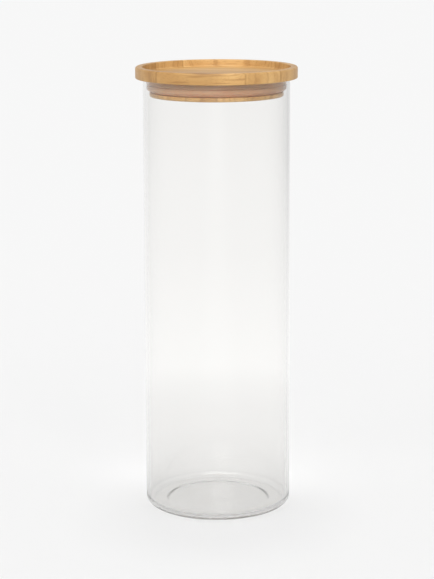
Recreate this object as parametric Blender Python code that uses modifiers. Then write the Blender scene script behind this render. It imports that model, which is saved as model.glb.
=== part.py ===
"""Lidded glass canister: a tall straight glass jar, closed by a turned bamboo lid with a silicone seal.

Metres, +Z up. The origin is the centre of the flat ring that the jar stands on.
The lid is a tray board with a raised rim over a plug board, each glued up from bamboo strips
and turned round. The plug carries the seal, whose two fins press on the inside of the glass.
"""

import math

import bpy
from mathutils import Vector

# Glass jar
JAR_RADIUS = 0.0500
JAR_HEIGHT = 0.2966
WALL = 0.0024
FLOOR_THICKNESS = 0.0024
HEEL_RADIUS = 0.0050
FLOOR_CORNER_RADIUS = 0.0040
RIM_ROUNDING = 0.0009
PUNT_RADIUS = 0.0365
PUNT_SLOPE = 0.0030
PUNT_DEPTH = 0.0004

# Tray board, the top of the lid, with its underside just above the jar's rim
SEAT_GAP = 0.0003
TRAY_RADIUS = 0.0550
TRAY_THICKNESS = 0.0078
TRAY_TOP_ROUNDING = 0.0013
TRAY_FOOT_ROUNDING = 0.0006
RECESS_RADIUS = 0.0502
RECESS_DEPTH = 0.0048
RECESS_COVE = 0.0010
RECESS_LIP_ROUNDING = 0.0005

# Plug board, glued under the tray, with a groove for the seal above its lip
GLUE_GAP = 0.0003
PLUG_DEPTH = 0.0119
PLUG_NECK_RADIUS = 0.0426
PLUG_LIP_RADIUS = 0.0454
PLUG_LIP_THICKNESS = 0.0029
PLUG_LIP_ROUNDING = 0.0008

# Silicone seal: a band in the groove with two fins that sweep outwards and up
SEAL_CLEARANCE = 0.0003
SEAL_BAND_THICKNESS = 0.0030
FIN_RADIUS = JAR_RADIUS - WALL - SEAL_CLEARANCE
FIN_THICKNESS = 0.0008
FIN_SWEEP = 0.0018
FIN_LAND = 0.0023
FIN_PITCH = 0.0030
FIN_ROOT_THICKNESS = 0.0016
LOWEST_FIN_STEP = 0.0007
SEAL_FOOT_CHAMFER = 0.0014

# Bamboo strips
STRIP_WIDTH = 0.0210
TRAY_STRIP_SHIFT = 0.0041
TRAY_STRIP_ANGLE = math.radians(-13.0)
PLUG_STRIP_SHIFT = 0.0105
PLUG_STRIP_ANGLE = TRAY_STRIP_ANGLE + math.radians(90.0)
BAMBOO_COLOUR = (0.62, 0.375, 0.165)
TONE_SPREAD = 0.06
TONE_STEP = 2.4

CUTTER_REACH = 4 * TRAY_RADIUS

TURN_STEPS = 72
MERGE_DISTANCE = 0.00001
SHARP_ANGLE = math.radians(35.0)


def clear_scene():
    for obj in list(bpy.data.objects):
        bpy.data.objects.remove(obj, do_unlink=True)


def new_collection(name):
    collection = bpy.data.collections.new(name)
    bpy.context.scene.collection.children.link(collection)
    return collection


def arc(centre, radius, start, end, steps):
    """Points (r, z) along an arc, from one angle to another in degrees."""
    points = []
    for i in range(steps + 1):
        angle = math.radians(start + (end - start) * i / steps)
        points.append((centre[0] + radius * math.cos(angle), centre[1] + radius * math.sin(angle)))
    return points


def principled(name, colour, roughness, **inputs):
    material = bpy.data.materials.new(name)
    material.use_nodes = True
    shader = material.node_tree.nodes["Principled BSDF"]
    shader.inputs["Base Color"].default_value = (*colour, 1.0)
    shader.inputs["Roughness"].default_value = roughness
    shader.inputs["Metallic"].default_value = 0.0
    for key, value in inputs.items():
        shader.inputs[key.replace("_", " ")].default_value = value
    material.diffuse_color = (*colour, 1.0)
    return material


def glass_material():
    material = principled("clear_glass", (0.93, 0.94, 0.92), 0.02, IOR=1.47, Transmission_Weight=1.0)
    material.diffuse_color = (0.80, 0.84, 0.83, 0.35)
    return material


def silicone_material():
    return principled("milky_silicone", (0.76, 0.68, 0.60), 0.35, IOR=1.41, Transmission_Weight=0.4)


def bamboo_material(name, tone):
    """Warm blond bamboo; tone lightens or darkens one strip against the next."""
    return principled(name, tuple(tone * share for share in BAMBOO_COLOUR), 0.45)


def turned_object(name, profile, collection, closed=False):
    """A profile of (r, z) points spun about Z. The points run down the outer side."""
    edges = [(i, i + 1) for i in range(len(profile) - 1)]
    if closed:
        edges.append((len(profile) - 1, 0))
    mesh = bpy.data.meshes.new(name)
    mesh.from_pydata([(r, 0.0, z) for r, z in profile], edges, [])
    obj = bpy.data.objects.new(name, mesh)
    collection.objects.link(obj)
    screw = obj.modifiers.new("turn", "SCREW")
    screw.steps = TURN_STEPS
    screw.render_steps = TURN_STEPS
    screw.use_merge_vertices = True
    screw.merge_threshold = MERGE_DISTANCE
    screw.use_smooth_shade = True
    return obj


def finish_mesh(obj, material):
    """The modifiers' result becomes the object's own mesh, shaded smooth with its edges kept sharp."""
    graph = bpy.context.evaluated_depsgraph_get()
    mesh = bpy.data.meshes.new_from_object(obj.evaluated_get(graph))
    mesh.name = obj.name
    obj.modifiers.clear()
    obj.data = mesh
    mesh.shade_smooth()
    mesh.set_sharp_from_angle(angle=SHARP_ANGLE)
    mesh.materials.clear()
    mesh.materials.append(material)


def strip_cutter(name, low, high, angle, parent, collection):
    """A slab that keeps what lies between two parallel planes, at right angles to a strip's length."""
    bpy.ops.mesh.primitive_cube_add(size=1.0)
    cutter = bpy.context.object
    cutter.name = name
    cutter.scale = (CUTTER_REACH, high - low, CUTTER_REACH)
    bpy.ops.object.transform_apply(location=False, rotation=False, scale=True)
    for vertex in cutter.data.vertices:
        vertex.co += Vector((0.0, -(low + high) / 2, 0.0))
    for other in list(cutter.users_collection):
        other.objects.unlink(cutter)
    collection.objects.link(cutter)
    cutter.rotation_euler.z = angle
    cutter.parent = parent
    cutter.display_type = "WIRE"
    cutter.hide_render = True
    return cutter


def strip_edges(radius, shift):
    """Where the glue lines lie across a round board, from the back of the board to its front."""
    first = math.ceil((-radius - shift) / STRIP_WIDTH)
    last = math.floor((radius - shift) / STRIP_WIDTH)
    return [shift + k * STRIP_WIDTH for k in range(first, last + 1)]


def board_of_strips(prefix, profile, radius, shift, angle, parent, parts, cutters):
    """A turned board cut into its glued strips, numbered from the front of the board to its back."""
    lines = strip_edges(radius, shift)
    lows = [-2 * radius] + [line + GLUE_GAP / 2 for line in lines]
    highs = [line - GLUE_GAP / 2 for line in lines] + [2 * radius]
    for number, (low, high) in enumerate(zip(reversed(lows), reversed(highs)), start=1):
        name = f"{prefix}_{number}"
        strip = turned_object(name, profile, parts)
        strip.parent = parent
        cut = strip.modifiers.new("strip", "BOOLEAN")
        cut.operation = "INTERSECT"
        cut.solver = "EXACT"
        cut.object = strip_cutter(f"{name}_cutter", low, high, angle, parent, cutters)
        tone = 1.0 + TONE_SPREAD * math.sin(TONE_STEP * number)
        finish_mesh(strip, bamboo_material(f"bamboo_{name}", tone))


def jar_profile():
    inner = JAR_RADIUS - WALL
    corner = (inner - FLOOR_CORNER_RADIUS, FLOOR_THICKNESS + FLOOR_CORNER_RADIUS)
    heel = (JAR_RADIUS - HEEL_RADIUS, HEEL_RADIUS)
    rim_z = JAR_HEIGHT - RIM_ROUNDING
    points = [(0.0, FLOOR_THICKNESS)]
    points += arc(corner, FLOOR_CORNER_RADIUS, -90, 0, 5)
    points += arc((inner + RIM_ROUNDING, rim_z), RIM_ROUNDING, 180, 90, 3)
    points += arc((JAR_RADIUS - RIM_ROUNDING, rim_z), RIM_ROUNDING, 90, 0, 3)
    points += arc(heel, HEEL_RADIUS, 0, -90, 5)
    points += [(PUNT_RADIUS, 0.0), (PUNT_RADIUS - PUNT_SLOPE, PUNT_DEPTH), (0.0, PUNT_DEPTH)]
    return points


def tray_profile():
    """z = 0 is the tray's underside."""
    top = TRAY_THICKNESS
    floor = top - RECESS_DEPTH
    lip = RECESS_LIP_ROUNDING
    upper = (TRAY_RADIUS - TRAY_TOP_ROUNDING, top - TRAY_TOP_ROUNDING)
    lower = (TRAY_RADIUS - TRAY_FOOT_ROUNDING, TRAY_FOOT_ROUNDING)
    points = [(0.0, floor)]
    points += arc((RECESS_RADIUS - RECESS_COVE, floor + RECESS_COVE), RECESS_COVE, -90, 0, 3)
    points += arc((RECESS_RADIUS + lip, top - lip), lip, 180, 90, 2)
    points += arc(upper, TRAY_TOP_ROUNDING, 90, 0, 4)
    points += arc(lower, TRAY_FOOT_ROUNDING, 0, -90, 2)
    points += [(0.0, 0.0)]
    return points


def plug_profile():
    """z = 0 is the tray's underside, which the plug hangs from."""
    lip_top = PLUG_LIP_THICKNESS - PLUG_DEPTH
    rounding = PLUG_LIP_ROUNDING
    edge = PLUG_LIP_RADIUS - rounding
    points = [(0.0, -GLUE_GAP), (PLUG_NECK_RADIUS, -GLUE_GAP), (PLUG_NECK_RADIUS, lip_top)]
    points += arc((edge, lip_top - rounding), rounding, 90, 0, 3)
    points += arc((edge, rounding - PLUG_DEPTH), rounding, 0, -90, 3)
    points += [(0.0, -PLUG_DEPTH)]
    return points


def fin_outline(root_radius, root_z):
    """One fin, from where its inner side leaves the band, over its tip, and back down its outer side."""
    land_low = root_z + FIN_SWEEP
    tip = (FIN_RADIUS - FIN_THICKNESS / 2, land_low + FIN_LAND - FIN_THICKNESS / 2)
    points = [(root_radius, root_z + FIN_ROOT_THICKNESS)]
    points += [(FIN_RADIUS - FIN_THICKNESS, land_low + FIN_THICKNESS / 2)]
    points += arc(tip, FIN_THICKNESS / 2, 180, 0, 4)
    points += [(FIN_RADIUS, land_low), (root_radius, root_z)]
    return points


def seal_profile():
    """A closed outline; z = 0 is the tray's underside."""
    inner = PLUG_NECK_RADIUS + SEAL_CLEARANCE
    outer = inner + SEAL_BAND_THICKNESS
    top = -SEAL_CLEARANCE
    bottom = PLUG_LIP_THICKNESS - PLUG_DEPTH + SEAL_CLEARANCE
    points = [(inner, bottom), (inner, top), (outer, top)]
    points += fin_outline(outer, bottom + LOWEST_FIN_STEP + FIN_PITCH)
    points += fin_outline(outer, bottom + LOWEST_FIN_STEP)
    points += [(outer - SEAL_FOOT_CHAMFER, bottom)]
    return points


def build():
    clear_scene()
    parts = new_collection("lidded_glass_canister")
    cutters = new_collection("cutters")

    jar = turned_object("glass_jar", jar_profile(), parts)
    finish_mesh(jar, glass_material())

    lid = bpy.data.objects.new("lid_axis", None)
    lid.location.z = JAR_HEIGHT + SEAT_GAP
    parts.objects.link(lid)

    seal = turned_object("silicone_seal", seal_profile(), parts, closed=True)
    seal.parent = lid
    finish_mesh(seal, silicone_material())

    board_of_strips("lid_tray_strip", tray_profile(), TRAY_RADIUS, TRAY_STRIP_SHIFT,
                    TRAY_STRIP_ANGLE, lid, parts, cutters)
    board_of_strips("lid_plug_strip", plug_profile(), PLUG_LIP_RADIUS, PLUG_STRIP_SHIFT,
                    PLUG_STRIP_ANGLE, lid, parts, cutters)


build()
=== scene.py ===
"""Looks of the lidded glass canister: a drawn glass jar, a lid turned from bamboo, a silicone seal.

Metres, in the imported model's frame: +Z up, the jar's foot on z = 0 and its axis on x = y = 0.
The camera looks along +Y.
"""

import math

import bmesh
import bpy
from mathutils import Matrix, Vector


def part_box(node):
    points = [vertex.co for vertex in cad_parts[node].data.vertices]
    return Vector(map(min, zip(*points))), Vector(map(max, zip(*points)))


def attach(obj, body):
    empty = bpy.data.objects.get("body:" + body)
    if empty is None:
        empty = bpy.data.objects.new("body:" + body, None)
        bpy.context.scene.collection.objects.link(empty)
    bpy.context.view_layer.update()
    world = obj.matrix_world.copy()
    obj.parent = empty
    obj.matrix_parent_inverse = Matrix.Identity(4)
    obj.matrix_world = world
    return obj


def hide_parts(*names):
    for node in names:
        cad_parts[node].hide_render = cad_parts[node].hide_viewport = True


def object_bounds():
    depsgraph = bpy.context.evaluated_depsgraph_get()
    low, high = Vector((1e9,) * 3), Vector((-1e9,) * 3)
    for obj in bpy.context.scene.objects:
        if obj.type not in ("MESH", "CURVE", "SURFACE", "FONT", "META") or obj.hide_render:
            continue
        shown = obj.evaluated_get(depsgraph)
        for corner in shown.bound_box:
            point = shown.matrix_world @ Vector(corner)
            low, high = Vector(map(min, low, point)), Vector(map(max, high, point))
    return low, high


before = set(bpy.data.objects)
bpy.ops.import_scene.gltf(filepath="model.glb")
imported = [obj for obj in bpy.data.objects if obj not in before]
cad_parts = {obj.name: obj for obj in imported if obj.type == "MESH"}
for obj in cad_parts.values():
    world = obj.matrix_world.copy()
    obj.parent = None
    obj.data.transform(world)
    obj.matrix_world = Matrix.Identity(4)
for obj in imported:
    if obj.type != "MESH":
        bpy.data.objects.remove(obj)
cad_low, cad_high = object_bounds()

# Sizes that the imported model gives
JAR_LOW, JAR_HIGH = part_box("glass_jar")
SEAL_LOW, SEAL_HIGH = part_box("silicone_seal")
TRAY_LOW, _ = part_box("lid_tray_strip_1")
PLUG_LOW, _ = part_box("lid_plug_strip_1")
JAR_RADIUS = JAR_HIGH.x
JAR_HEIGHT = JAR_HIGH.z
LID_RADIUS = cad_high.x
LID_TOP = cad_high.z
LID_UNDERSIDE = TRAY_LOW.z
PLUG_BOTTOM = PLUG_LOW.z

# Glass jar
WALL = 0.0024
FLOOR_THICKNESS = 0.0024
HEEL_RADIUS = 0.0050
FLOOR_CORNER_RADIUS = 0.0040
RIM_ROUNDING = 0.0009
RIM_SUPPORT = 0.0003
PUNT_RADIUS = 0.0365
PUNT_SLOPE = 0.0030
PUNT_DEPTH = 0.0004

# Tray board
TRAY_TOP_ROUNDING = 0.0013
TRAY_FOOT_ROUNDING = 0.0006
RECESS_RADIUS = 0.0502
RECESS_DEPTH = 0.0048
RECESS_COVE = 0.0010
RECESS_LIP_ROUNDING = 0.0005

# Plug board
PLUG_NECK_RADIUS = 0.0426
PLUG_LIP_RADIUS = 0.0454
PLUG_LIP_THICKNESS = 0.0029
PLUG_LIP_ROUNDING = 0.0008
BOARD_GAP = 0.0001

# Silicone seal
SEAL_BAND_THICKNESS = 0.0030
SEAL_CLEARANCE = 0.0003
FIN_CLEARANCE = 0.00008
FIN_RADIUS = JAR_RADIUS - WALL - FIN_CLEARANCE
FIN_THICKNESS = 0.0008
FIN_SWEEP = 0.0018
FIN_LAND = 0.0023
FIN_PITCH = 0.0030
FIN_ROOT_THICKNESS = 0.0016
FIN_FOOT_ROUNDING = 0.0012
FIN_FOOT_RISE = 0.0003
LOWEST_FIN_STEP = 0.0007
SEAL_FOOT_CHAMFER = 0.0014

# Bamboo strips: a board's glue lines lie STRIP_WIDTH apart, square to its own direction
STRIP_WIDTH = 0.0210
TRAY_STRIP_SHIFT = 0.0041
TRAY_STRIP_ANGLE = math.radians(-13.0)
PLUG_STRIP_SHIFT = 0.0105
PLUG_STRIP_ANGLE = TRAY_STRIP_ANGLE + math.radians(90.0)
GLUE_LINE = 0.00010

# How wide the wood is stained beside a glue line, and how dark
GLUE_STAIN = 0.0005
GLUE_TONE = 0.78

# How light each strip is at its left and at its right, the front strip first; the darker, the warmer
TONE_FROM = 0.006
TONE_TO = 0.020
WARMTH = (1.0, 1.25, 1.7)
TRAY_TONES = ((0.89, 1.10), (0.80, 0.96), (0.86, 0.90), (0.87, 0.87), (1.02, 0.94), (1.14, 0.97))
PLUG_TONES = ((1.02, 1.02), (1.06, 1.04), (0.94, 0.94), (1.10, 1.10), (1.00, 1.04))

# How the growth layers lie in a strip: lines per metre along, across and up it, how far they wander across
# and up it, and how strongly they show
UPRIGHT_LAYERS = ((6.0, 680.0, 60.0), (0.0030, 0.0012), 0.48)
FLAT_LAYERS = ((30.0, 40.0, 520.0), (0.0090, 0.0024), 0.72)

# The board and the strip that show the flat figure
FLAT_SAWN = ("tray_strip", 1)

# How far one strip's stretch of cane lies from the next strip's, along, across and up the cane
CANE_STEP = (0.37, 0.091, 0.053)

# Colours and finishes
GLASS_TINT = (0.975, 0.972, 0.964, 1.0)
GLASS_IOR = 1.47
HANDLED_ROUGHNESS = 0.012
PRESSED_HEIGHT = 0.010
PRESSED_ROUGHNESS = 0.08
DRAWN_DEPTH = 0.0004
# The silicone's colours are painted warm, standing in for the wood's light showing through the milky rubber
SILICONE_DEEP = (0.88, 0.45, 0.25, 1.0)
SILICONE_PALE = (0.95, 0.545, 0.34, 1.0)
SILICONE_IOR = 1.41
SILICONE_ROUGHNESS = (0.32, 0.48)
SILICONE_GRAIN_DEPTH = 0.00003
STRAW = (0.730, 0.460, 0.180, 1.0)
HONEY = (0.580, 0.325, 0.108, 1.0)
FIBRE = (0.370, 0.180, 0.052, 1.0)
BAMBOO_ROUGHNESS = (0.40, 0.56)
BAMBOO_GRAIN_DEPTH = 0.00006
PAPER_TOOTH_DEPTH = 0.00005

# How fine the turned meshes are: steps round the axis, and along each rounding and straight
GLASS_STEPS = 320
WOOD_STEPS = 256
BEND_STEPS = 18
RIM_STEPS = 8
PUNT_STEPS = 12
STRAIGHT_STEPS = 24
COVE_STEPS = 8
RECESS_LIP_STEPS = 5
TRAY_TOP_STEPS = 9
TRAY_FOOT_STEPS = 6
PLUG_LIP_STEPS = 7
FIN_TIP_STEPS = 10
FIN_FOOT_STEPS = 5

# Rings that only hold the shading of flat and straight stretches: radii, and the distance from a bend
JAR_FLOOR_RINGS = (0.0, 0.012, 0.030)
PUNT_RINGS = (0.012, 0.0)
TRAY_RINGS = (0.0, 0.016, 0.034)
PLUG_RINGS = (0.0, 0.020)
BEND_SUPPORT = 0.004

MERGE_DISTANCE = 1e-6
SHARP_ANGLE = math.radians(35.0)

# Camera
CAMERA_DISTANCE = 1.26188
CAMERA_HEIGHT = 0.41978
CAMERA_TILT = math.radians(9.890)
CAMERA_ROLL = math.radians(-0.21)
SENSOR_WIDTH = 36.0
LENS = 116.154
SHIFT_Y = -0.1219
LIGHT_BOUNCES = 32

# Studio: what the camera sees as white, and the two lights
WHITE = 0.930
SKY_STRENGTH = 0.70
KEY_STRENGTH = 1.70
KEY_SPREAD = math.radians(60.0)
KEY_ELEVATION = math.radians(45.0)
KEY_SIDE = math.radians(-6.0)

# Floor: the paper, the soft shadow painted in front of the jar and the light patch painted behind it, where
# the jar would gather light
PAPER = 0.862
FLOOR_SIZE = 40.0
FLOOR_DROP = 0.0002
SHEET_GAP = 0.0001
SHADOW_CENTRE = (0.0, -0.040)
SHADOW_INNER = 0.035
SHADOW_OUTER = 0.112
SHADOW_DEPTH = 0.945
PAINTED_LIGHT_CENTRE = (-0.068, 0.062)
PAINTED_LIGHT_RADIUS = 0.058
PAINTED_LIGHT_GAIN = 1.020

# Painted shade on the paper that only the glass shows: how light it is painted, in stops at r / (r +
# SHADE_HALFWAY), with r out from the axis
SHADE_HALFWAY = 0.40
SHADE = ((0.00, 0.565), (0.10, 0.570), (0.125, 0.635), (0.163, 0.712), (0.244, 0.812), (0.316, 0.862),
         (0.379, 0.872), (0.435, 0.903), (0.486, 0.955), (0.543, 0.940), (0.62, 0.920), (0.70, 0.897),
         (0.80, 0.890), (0.857, 0.875), (1.00, 0.846))

# Painted shade on the paper that the glass shows: darker to the sides, and most of all to the right and far
# off
SIDE_START = 0.070
SIDE_NEAR = 0.05
SIDE_RISE = (0.02, 0.35)
RIGHT_RANGE = (0.5, 2.0)
RIGHT_LEVELS = (0.895, 0.745)
LEFT_RANGE = (1.0, 2.4)
LEFT_LEVELS = (0.93, 0.88)
SIDE_FADE = (4.0, 14.0)


# ---------------------------------------------------------------- shapes


def arc(centre, radius, start, end, steps):
    """Points (r, z) along an arc, from one angle to another in degrees."""
    points = []
    for i in range(steps + 1):
        angle = math.radians(start + (end - start) * i / steps)
        points.append((centre[0] + radius * math.cos(angle), centre[1] + radius * math.sin(angle)))
    return points


def line(start, end, steps):
    """Points (r, z) from start up to, but not including, end."""
    return [(start[0] + (end[0] - start[0]) * i / steps,
             start[1] + (end[1] - start[1]) * i / steps) for i in range(steps)]


def flat(radii, z):
    """Points (r, z) at one height."""
    return [(r, z) for r in radii]


def turned(profile, steps, closed=False):
    """A bmesh of the profile of (r, z) points spun about the axis."""
    shape = bmesh.new()
    points = [shape.verts.new((r, 0.0, z)) for r, z in profile]
    edges = [shape.edges.new(pair) for pair in zip(points, points[1:])]
    if closed:
        edges.append(shape.edges.new((points[-1], points[0])))
    bmesh.ops.spin(shape, geom=points + edges, axis=(0, 0, 1), cent=(0, 0, 0),
                   steps=steps, angle=2 * math.pi, use_merge=True)
    bmesh.ops.remove_doubles(shape, verts=shape.verts, dist=MERGE_DISTANCE)
    bmesh.ops.recalc_face_normals(shape, faces=shape.faces)
    return shape


def keep_slab(shape, low, high, direction):
    """Keeps what lies between two planes across direction, and closes the cuts."""
    for distance, outward in ((low, -direction), (high, direction)):
        everything = shape.verts[:] + shape.edges[:] + shape.faces[:]
        bmesh.ops.bisect_plane(shape, geom=everything, dist=MERGE_DISTANCE / 10,
                               plane_co=direction * distance, plane_no=outward, clear_outer=True)
        rim = [edge for edge in shape.edges if edge.is_boundary]
        if rim:
            caps = bmesh.ops.holes_fill(shape, edges=rim, sides=0)["faces"]
            bmesh.ops.triangulate(shape, faces=caps)
    bmesh.ops.recalc_face_normals(shape, faces=shape.faces)


def new_piece(name, shape, material):
    mesh = bpy.data.meshes.new(name)
    shape.to_mesh(mesh)
    shape.free()
    mesh.shade_smooth()
    mesh.set_sharp_from_angle(angle=SHARP_ANGLE)
    mesh.materials.append(material)
    piece = bpy.data.objects.new(name, mesh)
    bpy.context.scene.collection.objects.link(piece)
    return piece


def punt_profile():
    """The shallow push-up under the jar, from the contact ring in to the axis."""
    points = []
    for i in range(PUNT_STEPS + 1):
        share = i / PUNT_STEPS
        rise = share * share * (3 - 2 * share)
        points.append((PUNT_RADIUS - PUNT_SLOPE * share, PUNT_DEPTH * rise))
    return points + flat(PUNT_RINGS, PUNT_DEPTH)


def jar_profile():
    inner = JAR_RADIUS - WALL
    corner = (inner - FLOOR_CORNER_RADIUS, FLOOR_THICKNESS + FLOOR_CORNER_RADIUS)
    heel = (JAR_RADIUS - HEEL_RADIUS, HEEL_RADIUS)
    rim_z = JAR_HEIGHT - RIM_ROUNDING
    top = rim_z - BEND_SUPPORT
    points = flat(JAR_FLOOR_RINGS, FLOOR_THICKNESS)
    points += arc(corner, FLOOR_CORNER_RADIUS, -90, 0, BEND_STEPS)
    points += line((inner, corner[1] + BEND_SUPPORT), (inner, top), STRAIGHT_STEPS)
    points += [(inner, rim_z - RIM_SUPPORT)]
    points += arc((inner + RIM_ROUNDING, rim_z), RIM_ROUNDING, 180, 90, RIM_STEPS)
    points += arc((JAR_RADIUS - RIM_ROUNDING, rim_z), RIM_ROUNDING, 90, 0, RIM_STEPS)
    points += [(JAR_RADIUS, rim_z - RIM_SUPPORT)]
    points += line((JAR_RADIUS, top), (JAR_RADIUS, heel[1] + BEND_SUPPORT), STRAIGHT_STEPS)
    points += arc(heel, HEEL_RADIUS, 0, -90, BEND_STEPS)
    return points + punt_profile()


def tray_profile():
    floor = LID_TOP - RECESS_DEPTH
    low = LID_UNDERSIDE
    lip = RECESS_LIP_ROUNDING
    upper = (LID_RADIUS - TRAY_TOP_ROUNDING, LID_TOP - TRAY_TOP_ROUNDING)
    lower = (LID_RADIUS - TRAY_FOOT_ROUNDING, low + TRAY_FOOT_ROUNDING)
    points = flat(TRAY_RINGS, floor)
    points += arc((RECESS_RADIUS - RECESS_COVE, floor + RECESS_COVE), RECESS_COVE, -90, 0, COVE_STEPS)
    points += arc((RECESS_RADIUS + lip, LID_TOP - lip), lip, 180, 90, RECESS_LIP_STEPS)
    points += arc(upper, TRAY_TOP_ROUNDING, 90, 0, TRAY_TOP_STEPS)
    points += arc(lower, TRAY_FOOT_ROUNDING, 0, -90, TRAY_FOOT_STEPS)
    return points + flat(reversed(TRAY_RINGS), low)


def plug_profile():
    top = LID_UNDERSIDE - BOARD_GAP
    lip_top = PLUG_BOTTOM + PLUG_LIP_THICKNESS
    rounding = PLUG_LIP_ROUNDING
    edge = PLUG_LIP_RADIUS - rounding
    points = flat(PLUG_RINGS, top) + [(PLUG_NECK_RADIUS, top), (PLUG_NECK_RADIUS, lip_top)]
    points += arc((edge, lip_top - rounding), rounding, 90, 0, PLUG_LIP_STEPS)
    points += arc((edge, PLUG_BOTTOM + rounding), rounding, 0, -90, PLUG_LIP_STEPS)
    return points + flat(reversed(PLUG_RINGS), PLUG_BOTTOM)


def fin_outline(root_radius, root_z):
    """One fin: out from the band along its inner side, over its tip, and back along its outer side."""
    land_low = root_z + FIN_SWEEP
    tip = (FIN_RADIUS - FIN_THICKNESS / 2, land_low + FIN_LAND - FIN_THICKNESS / 2)
    points = [(root_radius, root_z + FIN_ROOT_THICKNESS)]
    points += [(FIN_RADIUS - FIN_THICKNESS, land_low + FIN_THICKNESS / 2)]
    points += arc(tip, FIN_THICKNESS / 2, 180, 0, FIN_TIP_STEPS)
    foot = (FIN_RADIUS - FIN_FOOT_ROUNDING, land_low + FIN_FOOT_RISE)
    points += arc(foot, FIN_FOOT_ROUNDING, 0, -45, FIN_FOOT_STEPS)
    return points + [(root_radius, root_z)]


def seal_profile():
    inner = PLUG_NECK_RADIUS + SEAL_CLEARANCE
    outer = inner + SEAL_BAND_THICKNESS
    low = SEAL_LOW.z
    points = [(inner, low), (inner, SEAL_HIGH.z), (outer, SEAL_HIGH.z)]
    points += fin_outline(outer, low + LOWEST_FIN_STEP + FIN_PITCH)
    points += fin_outline(outer, low + LOWEST_FIN_STEP)
    return points + [(outer - SEAL_FOOT_CHAMFER, low)]


# ---------------------------------------------------------------- materials


class Look:
    """A material with one Principled BSDF, and short calls for its nodes."""

    def __init__(self, name):
        self.material = bpy.data.materials.new(name)
        self.material.use_nodes = True
        self.tree = self.material.node_tree
        self.shader = self.tree.nodes["Principled BSDF"]

    def put(self, socket, value):
        """A socket takes another node's output, or a plain value."""
        if isinstance(value, bpy.types.NodeSocket):
            self.tree.links.new(value, socket)
        else:
            socket.default_value = value

    def set(self, **inputs):
        for key, value in inputs.items():
            self.put(self.shader.inputs[key.replace("_", " ")], value)

    def node(self, kind, inputs=None, **settings):
        made = self.tree.nodes.new("ShaderNode" + kind)
        for key, value in settings.items():
            setattr(made, key, value)
        for key, value in (inputs or {}).items():
            self.put(made.inputs[key], value)
        return made

    def maths(self, operation, first, second=0.0):
        return self.node("Math", {0: first, 1: second}, operation=operation).outputs[0]

    def mix(self, factor, first, second, blend="MIX"):
        """A blend of two colours."""
        inputs = {"Factor": factor, 6: first, 7: second}
        return self.node("Mix", inputs, data_type="RGBA", blend_type=blend).outputs[2]

    def range(self, value, low, high, to_low=0.0, to_high=1.0):
        """A value carried smoothly from one range to another, and held at its ends."""
        inputs = {0: value, 1: low, 2: high, 3: to_low, 4: to_high}
        return self.node("MapRange", inputs, interpolation_type="SMOOTHSTEP").outputs[0]

    def scaled(self, place, scale, turn=0.0, offset=(0.0, 0.0, 0.0)):
        inputs = {"Vector": place, "Scale": scale, "Rotation": (0.0, 0.0, turn), "Location": offset}
        return self.node("Mapping", inputs, vector_type="POINT").outputs[0]

    def noise(self, place, scale, detail=2.0, roughness=0.5):
        """Noise whose features are 1 / scale metres long in each direction."""
        inputs = {"Vector": self.scaled(place, scale), "Scale": 1.0, "Detail": detail,
                  "Roughness": roughness}
        return self.node("TexNoise", inputs).outputs["Fac"]

    def bump(self, height, strength, distance):
        inputs = {"Height": height, "Strength": strength, "Distance": distance}
        self.set(Normal=self.node("Bump", inputs).outputs[0])

    def place(self):
        return self.node("TexCoord").outputs["Object"]


def glass_look():
    """Clear borosilicate glass: drawn a little unevenly up the wall, softer where the base was pressed,
    with a trace of handling on its polish."""
    look = Look("clear_glass")
    place = look.place()
    look.set(Base_Color=GLASS_TINT, IOR=GLASS_IOR, Transmission_Weight=1.0)
    handling = look.noise(place, (22.0, 22.0, 14.0), detail=4.0)
    polish = look.range(handling, 0.45, 0.75, 0.0, HANDLED_ROUGHNESS)
    height = look.node("SeparateXYZ", {0: place}).outputs[2]
    pressed = look.range(height, PRESSED_HEIGHT / 2, PRESSED_HEIGHT, PRESSED_ROUGHNESS, 0.0)
    look.set(Roughness=look.maths("ADD", polish, pressed))
    drawn = look.noise(place, (55.0, 55.0, 3.0), detail=1.0)
    look.bump(drawn, 0.06, DRAWN_DEPTH)
    return look.material


def silicone_look():
    """Milky silicone rubber, its colour painted warm to stand in for the wood's light showing through it,
    with a fine dull moulded surface.
    """
    look = Look("milky_silicone")
    place = look.place()
    cloud = look.noise(place, (160.0, 160.0, 160.0), detail=3.0)
    look.set(Base_Color=look.mix(cloud, SILICONE_DEEP, SILICONE_PALE))
    grain = look.noise(place, (2600.0, 2600.0, 2600.0), detail=2.0)
    look.set(Roughness=look.range(grain, 0.3, 0.7, *SILICONE_ROUGHNESS), IOR=SILICONE_IOR,
             Transmission_Weight=0.20, Subsurface_Weight=0.8, Subsurface_Radius=(1.0, 0.85, 0.7),
             Subsurface_Scale=0.003)
    look.bump(grain, 0.15, SILICONE_GRAIN_DEPTH)
    return look.material


def strip_place(look, angle, seed):
    """One strip's coordinates: x along its fibres, y across it, z up, moved to its own stretch of cane."""
    offset = tuple(step * seed for step in CANE_STEP)
    return look.scaled(look.place(), (1.0, 1.0, 1.0), turn=-angle, offset=offset)


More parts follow.
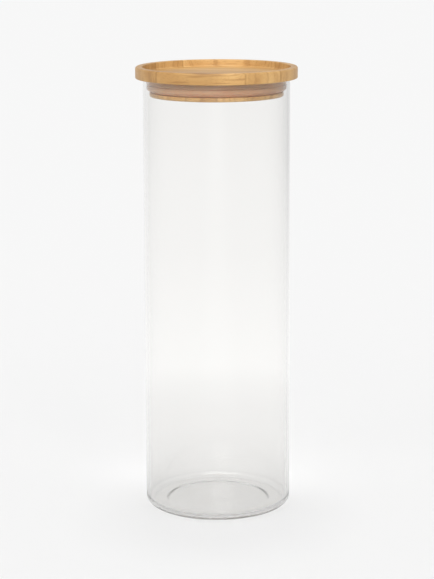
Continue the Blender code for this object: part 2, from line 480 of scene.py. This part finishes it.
def bamboo_look(name, angle, seed, tones, edges, figure):
    """Blond bamboo with long fibre bundles, sanded and thinly lacquered; tones are how light its two ends
    are, edges are where the glued faces lie, a little darkened by glue, and figure is how its growth
    layers lie."""
    look = Look(name)
    straight = strip_place(look, angle, seed)
    sway = look.noise(straight, (14.0, 90.0, 150.0), detail=2.0)
    scale, wander, strength = figure
    bend = look.node("CombineXYZ", {"Y": look.maths("MULTIPLY", sway, wander[0]),
                                    "Z": look.maths("MULTIPLY", sway, wander[1])}).outputs[0]
    cane = look.node("VectorMath", {0: straight, 1: bend}, operation="ADD").outputs[0]

    bundles = look.node("TexVoronoi", {"Vector": look.scaled(cane, (16.0, 1500.0, 1500.0)), "Scale": 1.0})
    bundle = look.range(bundles.outputs["Distance"], 0.42, 0.12)
    fine = look.noise(cane, (40.0, 3600.0, 3600.0), detail=3.0, roughness=0.6)
    layers = look.noise(cane, scale, detail=2.0, roughness=0.6)
    broad = look.noise(cane, (9.0, 110.0, 60.0), detail=2.0)

    ground = look.mix(look.range(broad, 0.30, 0.70), HONEY, STRAW)
    ground = look.mix(look.range(layers, 0.44, 0.60, 0.0, strength), ground, HONEY)
    ground = look.mix(look.range(layers, 0.54, 0.66, 0.0, strength), ground, FIBRE)
    streaked = look.mix(look.range(fine, 0.35, 0.75, 0.0, 0.35), ground, HONEY)
    streaked = look.mix(look.maths("MULTIPLY", bundle, 0.50), streaked, FIBRE)
    own = look.node("SeparateXYZ", {0: look.scaled(look.place(), (1.0, 1.0, 1.0), turn=-angle)}).outputs
    tone = look.range(own[0], TONE_FROM, TONE_TO, *tones)
    for edge in edges:
        off = look.maths("ABSOLUTE", look.maths("ADD", own[1], edge))
        tone = look.maths("MULTIPLY", tone, look.range(off, 0.0, GLUE_STAIN, GLUE_TONE, 1.0))
    shares = {i: look.maths("POWER", tone, power) for i, power in enumerate(WARMTH)}
    tint = look.node("CombineColor", shares).outputs[0]
    look.set(Base_Color=look.mix(1.0, streaked, tint, blend="MULTIPLY"))

    grain = look.maths("ADD", look.maths("MULTIPLY", bundle, 0.6), look.maths("MULTIPLY", fine, 0.4))
    look.set(Roughness=look.range(grain, 0.1, 0.8, *BAMBOO_ROUGHNESS), Coat_Weight=0.12,
             Coat_Roughness=0.30)
    look.bump(grain, 0.25, BAMBOO_GRAIN_DEPTH)
    return look.material


def distance_from(look, centre):
    """How far a point on the floor is from a centre."""
    inputs = {0: look.place(), 1: (centre[0], centre[1], 0.0)}
    return look.node("VectorMath", inputs, operation="DISTANCE").outputs["Value"]


def paper_look(name, shade):
    """Matt white studio paper; shade gives how light it is, painted shade and light included."""
    look = Look(name)
    tooth = look.noise(look.place(), (900.0, 900.0, 900.0), detail=2.0)
    look.set(Base_Color=shade(look), Roughness=0.9, Specular_IOR_Level=0.0)
    look.bump(tooth, 0.02, PAPER_TOOTH_DEPTH)
    return look.material


def open_shade(look):
    """The paper as it lies open: white, with a soft shadow painted before the jar and a light patch painted
    behind it.
    """
    shadow = look.range(distance_from(look, SHADOW_CENTRE), SHADOW_INNER, SHADOW_OUTER, SHADOW_DEPTH, 1.0)
    # A painted light patch behind the jar, where the jar would gather light
    painted_light = look.range(distance_from(look, PAINTED_LIGHT_CENTRE), 0.0, PAINTED_LIGHT_RADIUS, PAINTED_LIGHT_GAIN, 1.0)
    level = look.maths("MULTIPLY", look.maths("MULTIPLY", shadow, painted_light), PAPER)
    return look.node("CombineColor", {0: level, 1: level, 2: level}).outputs[0]


def side_shade(look, out, across, distances, levels):
    """How much darker the painted shade is towards one side: not at all straight behind the jar, and fully
    well off to the side, until it fades far away."""
    aside = look.maths("SUBTRACT", across, SIDE_START)
    beyond = look.maths("DIVIDE", aside, look.maths("ADD", out, SIDE_NEAR))
    turn = look.maths("MULTIPLY", look.range(beyond, *SIDE_RISE), look.range(out, *SIDE_FADE, 1.0, 0.0))
    level = look.range(out, *distances, *levels)
    return look.maths("SUBTRACT", 1.0, look.maths("MULTIPLY", turn, look.maths("SUBTRACT", 1.0, level)))


def glass_side_shade(look):
    """The paper as it shows through the glass: painted shade close to the jar and again far from it."""
    out = distance_from(look, (0.0, 0.0))
    share = look.maths("DIVIDE", out, look.maths("ADD", out, SHADE_HALFWAY))
    ramp = look.node("ValToRGB", {"Fac": share})
    stops = ramp.color_ramp.elements
    while len(stops) < len(SHADE):
        stops.new(1.0)
    for stop, (position, level) in zip(stops, SHADE):
        stop.position = position
        stop.color = (level, level, level, 1.0)
    across = look.node("SeparateXYZ", {0: look.place()}).outputs[0]
    right = side_shade(look, out, across, RIGHT_RANGE, RIGHT_LEVELS)
    left = side_shade(look, out, look.maths("MULTIPLY", across, -1.0), LEFT_RANGE, LEFT_LEVELS)
    sides = look.maths("MULTIPLY", right, left)
    side_colour = look.node("CombineColor", {0: sides, 1: sides, 2: sides}).outputs[0]
    return look.mix(1.0, ramp.outputs["Color"], side_colour, blend="MULTIPLY")


# ---------------------------------------------------------------- pieces


def build_jar():
    jar = new_piece("jar_glass", turned(jar_profile(), GLASS_STEPS), glass_look())
    jar.visible_shadow = False
    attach(jar, "jar")
    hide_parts("glass_jar")


def build_seal():
    seal = new_piece("seal_ring", turned(seal_profile(), WOOD_STEPS, closed=True), silicone_look())
    seal.visible_shadow = False
    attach(seal, "seal")
    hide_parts("silicone_seal")


def build_board(cad_prefix, prefix, profile, radius, shift, angle, tones):
    """A turned board cut into its strips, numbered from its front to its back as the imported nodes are."""
    across = Vector((math.sin(angle), -math.cos(angle), 0.0))
    first = math.ceil((-radius - shift) / STRIP_WIDTH)
    last = math.floor((radius - shift) / STRIP_WIDTH)
    lines = [shift + k * STRIP_WIDTH for k in range(first, last + 1)]
    lows = [-2 * radius] + [x + GLUE_LINE / 2 for x in lines]
    highs = [x - GLUE_LINE / 2 for x in lines] + [2 * radius]
    for number, (low, high) in enumerate(zip(reversed(lows), reversed(highs)), start=1):
        shape = turned(profile, WOOD_STEPS)
        keep_slab(shape, low, high, across)
        edges = [edge for edge in (low, high) if abs(edge) < radius]
        figure = FLAT_LAYERS if prefix == FLAT_SAWN[0] and number == FLAT_SAWN[1] else UPRIGHT_LAYERS
        look = bamboo_look(f"bamboo_{prefix}_{number}", angle, number + len(tones), tones[number - 1],
                           edges, figure)
        strip = new_piece(f"{prefix}_{number}", shape, look)
        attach(strip, "lid")
        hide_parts(f"{cad_prefix}_{number}")


# ---------------------------------------------------------------- studio


def floor_sheet(name, height, look):
    bpy.ops.mesh.primitive_plane_add(size=FLOOR_SIZE, location=(0.0, 0.0, height))
    sheet = bpy.context.object
    sheet.name = name
    sheet.data.materials.append(look)
    return sheet


def build_floor():
    """One floor in two sheets: the open paper, with a painted shadow and light patch, and the paper that
    the glass shows, with painted shade.
    """
    paper = floor_sheet("floor_paper", -FLOOR_DROP, paper_look("white_paper", open_shade))
    paper.visible_transmission = False
    paper.visible_glossy = False
    # The second sheet carries painted shade and shows only through and in the glass
    shaded = paper_look("paper_painted_shade_through_glass", glass_side_shade)
    through = floor_sheet("floor_through_glass", SHEET_GAP - FLOOR_DROP, shaded)
    through.visible_camera = False
    through.visible_diffuse = False
    through.visible_shadow = False


def build_sky():
    """An even white surround, which lights the scene a little less than it shows."""
    world = bpy.data.worlds.new("studio")
    bpy.context.scene.world = world
    world.use_nodes = True
    tree = world.node_tree
    rays = tree.nodes.new("ShaderNodeLightPath")
    seen = tree.nodes.new("ShaderNodeMath")
    seen.operation = "MAXIMUM"
    tree.links.new(rays.outputs["Is Camera Ray"], seen.inputs[0])
    tree.links.new(rays.outputs["Is Transmission Ray"], seen.inputs[1])
    strength = tree.nodes.new("ShaderNodeMapRange")
    tree.links.new(seen.outputs[0], strength.inputs["Value"])
    strength.inputs["To Min"].default_value = SKY_STRENGTH
    strength.inputs["To Max"].default_value = WHITE
    background = tree.nodes["Background"]
    background.inputs["Color"].default_value = (1.0, 1.0, 1.0, 1.0)
    tree.links.new(strength.outputs["Result"], background.inputs["Strength"])


def build_key():
    """A broad soft light from the camera's side."""
    sun = bpy.data.lights.new("soft_key", "SUN")
    sun.energy = KEY_STRENGTH
    sun.angle = KEY_SPREAD
    lamp = bpy.data.objects.new("soft_key", sun)
    lamp.rotation_euler = (math.pi / 2 - KEY_ELEVATION, 0.0, KEY_SIDE)
    bpy.context.scene.collection.objects.link(lamp)


def build_camera():
    lens = bpy.data.cameras.new("camera")
    lens.sensor_width = SENSOR_WIDTH
    lens.lens = LENS
    lens.shift_y = SHIFT_Y
    camera = bpy.data.objects.new("camera", lens)
    camera.location = (0.0, -CAMERA_DISTANCE, CAMERA_HEIGHT)
    aim = Matrix.Rotation(math.pi / 2 - CAMERA_TILT, 3, "X") @ Matrix.Rotation(CAMERA_ROLL, 3, "Z")
    camera.rotation_euler = aim.to_euler()
    bpy.context.scene.collection.objects.link(camera)
    bpy.context.scene.camera = camera
    bpy.context.scene.view_settings.view_transform = "Standard"


def set_light_paths():
    """Enough bounces for light that is carried along inside the jar's wall and floor."""
    cycles = bpy.context.scene.cycles
    cycles.max_bounces = LIGHT_BOUNCES
    cycles.transmission_bounces = LIGHT_BOUNCES
    cycles.glossy_bounces = LIGHT_BOUNCES


build_camera()
set_light_paths()
build_jar()
build_seal()
build_board("lid_tray_strip", "tray_strip", tray_profile(), LID_RADIUS, TRAY_STRIP_SHIFT,
            TRAY_STRIP_ANGLE, TRAY_TONES)
build_board("lid_plug_strip", "plug_strip", plug_profile(), PLUG_LIP_RADIUS, PLUG_STRIP_SHIFT,
            PLUG_STRIP_ANGLE, PLUG_TONES)
build_floor()
build_sky()
build_key()
